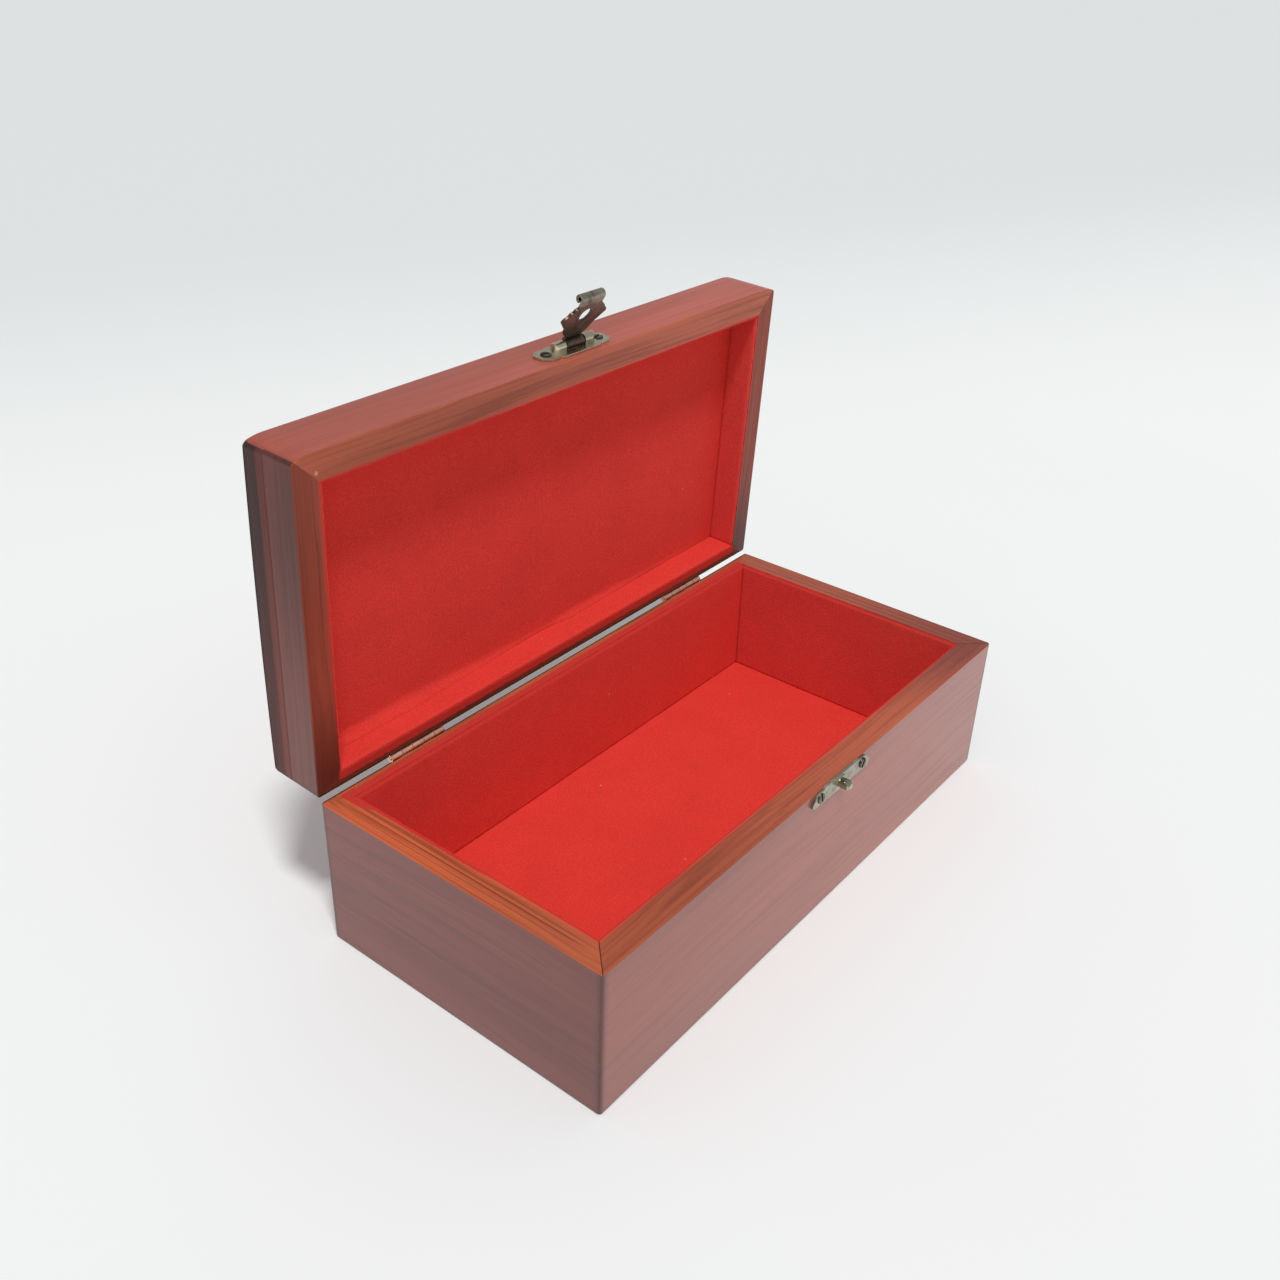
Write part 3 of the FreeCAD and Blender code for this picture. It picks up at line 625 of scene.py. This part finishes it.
def make_top_board():
    """Arched top board of the lid with rounded upper edges and a front that falls away at both ends."""
    bottom = shut_box("lid_top_panel")[0].z
    shape = bmesh.new()
    bmesh.ops.create_cube(shape, size=1.0)
    bmesh.ops.scale(shape, verts=shape.verts, vec=(2 * CASE_HALF_X, 2 * CASE_HALF_Y, TOP_THICKNESS))
    bmesh.ops.translate(shape, verts=shape.verts, vec=(0, 0, bottom + TOP_THICKNESS / 2))
    top = bottom + TOP_THICKNESS - 1e-6
    upper = [edge for edge in shape.edges if all(vertex.co.z > top for vertex in edge.verts)]
    bmesh.ops.bevel(
        shape, geom=upper, offset=TOP_EDGE_RADIUS, segments=6, profile=0.5, affect="EDGES", material=-1,
    )
    corners = [edge for edge in shape.edges if at_board_corner(edge)]
    bmesh.ops.bevel(
        shape, geom=corners, offset=TOP_CORNER_RADIUS, segments=4, profile=0.5, affect="EDGES", material=-1,
    )
    for x in TOP_LOOPS_X:
        cut_across(shape, (x, 0, 0), (1, 0, 0))
        cut_across(shape, (-x, 0, 0), (1, 0, 0))
    for step in range(-TOP_LOOPS_Y, TOP_LOOPS_Y + 1):
        cut_across(shape, (0, step * TOP_LOOP_STEP_Y, 0), (0, 1, 0))
    bend_radius = (TOP_CORNER_SWEEP ** 2 + TOP_CORNER_FALL ** 2) / (2 * TOP_CORNER_FALL)
    for vertex in shape.verts:
        x = max(-CASE_HALF_X, min(CASE_HALF_X, vertex.co.x))
        y = max(-CASE_HALF_Y, min(CASE_HALF_Y, vertex.co.y))
        z = vertex.co.z
        past = max(0.0, abs(x) - (CASE_HALF_X - TOP_CORNER_SWEEP))
        fall = bend_radius - math.sqrt(bend_radius ** 2 - past ** 2)
        crown = TOP_CROWN * (1 - (y / CASE_HALF_Y) ** 2) * (z - bottom) / TOP_THICKNESS
        vertex.co = (x, y + fall * (CASE_HALF_Y - y) / (2 * CASE_HALF_Y), z + crown)
    bmesh.ops.transform(shape, matrix=LID_OPEN, verts=shape.verts)
    bmesh.ops.recalc_face_normals(shape, faces=shape.faces)
    shape.normal_update()
    for facet in shape.faces:
        facet.smooth = True
    for edge in shape.edges:
        edge.smooth = edge.calc_face_angle(0.0) < SHARP_EDGE
    board = new_piece("lid_top_board", shape, WOOD_LID, "lid")
    board.data.materials.append(WOOD_LID_END)
    for facet in board.data.polygons:
        facet.material_index = 1 if abs(facet.normal.x) > 0.5 else 0
    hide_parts("lid_top_panel")


def at_board_corner(edge):
    """True for the upright corner edges of the board and the arcs that carry them over the rounded top."""
    first, second = (vertex.co for vertex in edge.verts)
    off = [(CASE_HALF_X - abs(corner.x)) - (CASE_HALF_Y - abs(corner.y)) for corner in (first, second)]
    return max(abs(value) for value in off) < 1e-6 and abs(first.x - second.x) < 2 * TOP_EDGE_RADIUS


def cut_across(shape, point, direction):
    """Adds a loop of edges where a plane crosses the shape."""
    everything = shape.verts[:] + shape.edges[:] + shape.faces[:]
    bmesh.ops.bisect_plane(shape, geom=everything, dist=1e-6, plane_co=point, plane_no=direction)


# Flock sheets

SHEET_CELL = 0.0011
SHEET_WAVE = 0.00010
SHEET_EDGE_WANDER = 0.00016
SHEET_EDGE_DROP = 0.00010
SHEET_TUCK = 0.0003

# How far the lid's large sheet curves out over the strip at the hinges, at places along X
COVE_HEIGHTS = (
    (-0.0920, 0.0030), (-0.0584, 0.0035), (-0.0277, 0.0021),
    (0.0004, 0.0006), (0.0125, 0.0023), (0.0904, 0.0),
)

# Where a sheet's width, length and face point, lid shut
FACING = {
    "floor": (Vector((1, 0, 0)), Vector((0, 1, 0)), Vector((0, 0, 1))),
    "top": (Vector((1, 0, 0)), Vector((0, 1, 0)), Vector((0, 0, -1))),
    "front": (Vector((1, 0, 0)), Vector((0, 0, 1)), Vector((0, 1, 0))),
    "back": (Vector((1, 0, 0)), Vector((0, 0, 1)), Vector((0, -1, 0))),
    "left": (Vector((0, 1, 0)), Vector((0, 0, 1)), Vector((1, 0, 0))),
    "right": (Vector((0, 1, 0)), Vector((0, 0, 1)), Vector((-1, 0, 0))),
}


def flock_sheet(part, side, seed):
    """One glued sheet of flock, slightly uneven, with soft wandering edges."""
    on_lid = part == "lid"
    node_name = f"{part}_{side}_lining"
    low, high = shut_box(node_name) if on_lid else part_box(node_name)
    across, along, face = FACING[side]
    middle, span = (low + high) / 2, high - low
    width, length = abs(span.dot(across)), abs(span.dot(along))
    thickness = abs(span.dot(face))

    rim_side = 0 if side in ("floor", "top") else -1 if on_lid else 1
    if rim_side:
        length += SHEET_TUCK
        middle = middle - along * rim_side * SHEET_TUCK / 2
    if side in ("left", "right"):
        width += 2 * SHEET_TUCK

    shape = bmesh.new()
    columns, rows = max(4, round(width / SHEET_CELL)), max(4, round(length / SHEET_CELL))
    bmesh.ops.create_grid(shape, x_segments=columns, y_segments=rows, size=0.5)
    bmesh.ops.scale(shape, verts=shape.verts, vec=(width, length, 1.0))
    border = [vertex for vertex in shape.verts if vertex.is_boundary]
    if rim_side:
        wander_rim_edge(border, length, rim_side, seed)
    bmesh.ops.solidify(shape, geom=shape.faces[:], thickness=thickness * 0.9)
    bmesh.ops.recalc_face_normals(shape, faces=shape.faces)
    for facet in shape.faces:
        facet.normal_update()
        facet.smooth = abs(facet.normal.z) > 0.5
    raise_nap(shape, length, thickness, rim_side, seed)
    if on_lid and side == "top":
        curve_into_strip(shape, length, seed)

    place = Matrix((
        (across.x, along.x, face.x, middle.x), (across.y, along.y, face.y, middle.y),
        (across.z, along.z, face.z, middle.z), (0, 0, 0, 1),
    ))
    bmesh.ops.transform(shape, matrix=(LID_OPEN @ place) if on_lid else place, verts=shape.verts)
    bmesh.ops.recalc_face_normals(shape, faces=shape.faces)
    # The right-hand sheets take the paler flock, a painted bluish skylight
    flock = SKYLIT_FLOCK if side == "right" else RED_FLOCK
    piece = new_piece(f"{part}_{side}_flock", shape, flock, part)
    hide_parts(node_name)
    carrier = {"floor": "base_bottom_panel", "top": "lid_top_panel"}.get(side)
    carrier = carrier or (f"lid_{side}_rail" if on_lid else f"base_{side}_panel")


def wander_rim_edge(border, length, rim_side, seed):
    """Lets the edge along the rim wander; the other edges tuck under the next sheet."""
    for vertex in border:
        if vertex.co.y * rim_side > length / 2 - 1e-6:
            at = vertex.co.x
            pull = noise.noise(Vector((at * 900, 0, seed)))
            pull += 0.8 * noise.noise(Vector((at * 300, 0, seed + 3)))
            vertex.co.y += rim_side * SHEET_EDGE_WANDER * pull


def raise_nap(shape, length, thickness, rim_side, seed):
    """Sets the back flat, the face slightly wavy and the face's edge along the rim rounded down."""
    middle = sum(vertex.co.z for vertex in shape.verts) / len(shape.verts)
    for vertex in shape.verts:
        x, y = vertex.co.x, vertex.co.y
        if vertex.co.z < middle:
            vertex.co.z = -thickness / 2
            continue
        wave = noise.noise(Vector((x * 45, y * 45, seed)))
        wave += 0.5 * noise.noise(Vector((x * 160, y * 160, seed + 7)))
        to_rim = length / 2 - y * rim_side if rim_side else length
        drop = SHEET_EDGE_DROP * max(0.0, 1.0 - to_rim / SHEET_CELL)
        vertex.co.z = thickness / 2 + SHEET_WAVE * wave - drop


def cove_height(x):
    """Height of the cove between the lid's large sheet and the strip at the hinges."""
    for (x_low, low), (x_high, high) in zip(COVE_HEIGHTS, COVE_HEIGHTS[1:]):
        if x <= x_high:
            return low + (high - low) * max(0.0, x - x_low) / (x_high - x_low)
    return 0.0


def curve_into_strip(shape, length, seed):
    """Curves the back edge of the lid's large sheet out over the strip beside it."""
    for vertex in shape.verts:
        if vertex.co.z > 0:
            rag = 0.0010 * noise.noise(Vector((vertex.co.x * 250, 0, seed)))
            rise = cove_height(vertex.co.x + rag) - (length / 2 - vertex.co.y)
            vertex.co.z += max(0.0, rise)


def make_linings():
    """Five sheets in the base and five in the lid."""
    for part, flat_side in (("base", "floor"), ("lid", "top")):
        for seed, side in enumerate((flat_side, "front", "back", "left", "right")):
            flock_sheet(part, side, seed * 3.7 + (50.0 if part == "lid" else 0.0))


# Slotted screws

SCREW_SIDES = 32
SLOT_WIDTH = 0.00072
SLOT_DEPTH = 0.00034
HEAD_HEIGHT = 0.00045
HEAD_ROUNDING = 0.00026
SHANK_RADIUS = 0.00085
SHANK_LENGTH = 0.0035


def screw_head_half(shape, radius, height, side):
    """Half of a rounded head, on one side of the slot, added to the shape."""
    half = bmesh.new()
    lift = Matrix.Translation((0, 0, height / 2))
    bmesh.ops.create_cone(
        half, cap_ends=True, segments=SCREW_SIDES, radius1=radius, radius2=radius, depth=height, matrix=lift,
    )
    rim = [edge for edge in half.edges if all(vertex.co.z > height * 0.9 for vertex in edge.verts)]
    bmesh.ops.bevel(
        half, geom=rim, offset=HEAD_ROUNDING, segments=4, profile=0.5, affect="EDGES", material=-1,
    )
    cut = {"plane_co": (side * SLOT_WIDTH / 2, 0, 0), "plane_no": (side, 0, 0), "clear_inner": True}
    bmesh.ops.bisect_plane(half, geom=half.verts[:] + half.edges[:] + half.faces[:], dist=1e-7, **cut)
    bmesh.ops.holes_fill(half, edges=[edge for edge in half.edges if edge.is_boundary], sides=0)
    add_shape(shape, half)


def add_shape(shape, extra):
    """Moves the faces of one shape into another."""
    bmesh.ops.recalc_face_normals(extra, faces=extra.faces)
    mesh = bpy.data.meshes.new("part_of_piece")
    extra.to_mesh(mesh)
    extra.free()
    shape.from_mesh(mesh)
    bpy.data.meshes.remove(mesh)


def slotted_screw(radius, height):
    """Pan-head wood screw, head up along Z from its seat, with its slot along Y."""
    shape = bmesh.new()
    for side in (-1, 1):
        screw_head_half(shape, radius, height, side)
    floor_height = height - SLOT_DEPTH
    plate = bmesh.new()
    bmesh.ops.create_cone(
        plate, cap_ends=True, segments=SCREW_SIDES, radius1=radius, radius2=radius, depth=floor_height,
        matrix=Matrix.Translation((0, 0, floor_height / 2)),
    )
    add_shape(shape, plate)
    shank = bmesh.new()
    bmesh.ops.create_cone(
        shank, cap_ends=True, segments=16, radius1=SHANK_RADIUS * 0.55, radius2=SHANK_RADIUS,
        depth=SHANK_LENGTH, matrix=Matrix.Translation((0, 0, -SHANK_LENGTH / 2)),
    )
    add_shape(shape, shank)
    return shape


def screw_pair(node_name, body, outward, turns):
    """The two screws of one plate or leaf, each with its slot left at its own angle."""
    on_lid = body == "lid"
    low, high = shut_box(node_name) if on_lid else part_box(node_name)
    radius = (high.z - low.z) / 2
    seat_y = low.y + HEAD_HEIGHT if outward < 0 else high.y - HEAD_HEIGHT
    pair = bmesh.new()
    for x, turn in zip((low.x + radius, high.x - radius), turns):
        screw = slotted_screw(radius, HEAD_HEIGHT)
        stand = Matrix.Rotation(math.radians(-90 * outward), 4, "X")
        place = Matrix.Translation((x, seat_y, (low.z + high.z) / 2))
        matrix = place @ stand @ Matrix.Rotation(math.radians(turn), 4, "Z")
        bmesh.ops.transform(screw, matrix=(LID_OPEN @ matrix) if on_lid else matrix, verts=screw.verts)
        add_shape(pair, screw)
    piece = new_piece(node_name.replace("screws", "slotted_screws"), pair, SCREW_BRASS, body)
    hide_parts(node_name)


def make_screws():
    """The screws of the catch, the hasp plate and the four hinge leaves."""
    screw_pair("catch_screws", "base", -1, (12, -20))
    screw_pair("hasp_plate_screws", "lid", -1, (75, 100))
    screw_pair("hinge_left_base_screws", "base", 1, (40, -15))
    screw_pair("hinge_right_base_screws", "base", 1, (85, 30))
    screw_pair("hinge_left_lid_screws", "lid", 1, (-35, 60))
    screw_pair("hinge_right_lid_screws", "lid", 1, (20, 110))


# Floor, light and camera

SUN_FROM = Vector((-0.208, -0.318, 0.925))
SUN_STRENGTH = 1.9
SUN_SPREAD = math.radians(9)
SKY_STRENGTH = 0.45
FLOOR_HALF = 8.0


def make_floor():
    """Pale floor that fills the view."""
    mesh = bpy.data.meshes.new("floor")
    floor = bpy.data.objects.new("floor", mesh)
    bpy.context.scene.collection.objects.link(floor)
    shape = bmesh.new()
    bmesh.ops.create_grid(shape, x_segments=4, y_segments=4, size=FLOOR_HALF)
    shape.to_mesh(mesh)
    shape.free()
    set_material(floor, pale_cloth())


def make_sun():
    """Soft light from above, left and front."""
    data = bpy.data.lights.new("window", "SUN")
    data.energy = SUN_STRENGTH
    data.angle = SUN_SPREAD
    lamp = bpy.data.objects.new("window", data)
    lamp.location = SUN_FROM * 2
    lamp.rotation_mode = "QUATERNION"
    lamp.rotation_quaternion = (-SUN_FROM).to_track_quat("-Z", "Y")
    bpy.context.scene.collection.objects.link(lamp)


def make_camera():
    """The photographed view."""
    data = bpy.data.cameras.new("camera")
    data.lens = CAMERA_LENS_MM
    data.sensor_width = SENSOR_MM
    data.clip_start = 0.01
    camera = bpy.data.objects.new("camera", data)
    camera.location = CAMERA_SPOT
    camera.rotation_mode = "QUATERNION"
    level = CAMERA_AIM.to_track_quat("-Z", "Y")
    camera.rotation_quaternion = level @ Quaternion((0, 0, 1), CAMERA_ROLL)
    bpy.context.scene.collection.objects.link(camera)
    bpy.context.scene.camera = camera


def make_sky():
    """Plain pale light from all sides."""
    world = bpy.data.worlds.new("studio")
    world.use_nodes = True
    sky = world.node_tree.nodes["Background"]
    sky.inputs["Color"].default_value = (0.97, 0.985, 1.0, 1.0)
    sky.inputs["Strength"].default_value = SKY_STRENGTH
    bpy.context.scene.world = world


dress_nodes()
make_top_board()
make_linings()
make_screws()
make_floor()
make_sky()
make_sun()
make_camera()
bpy.context.scene.view_settings.view_transform = "Standard"
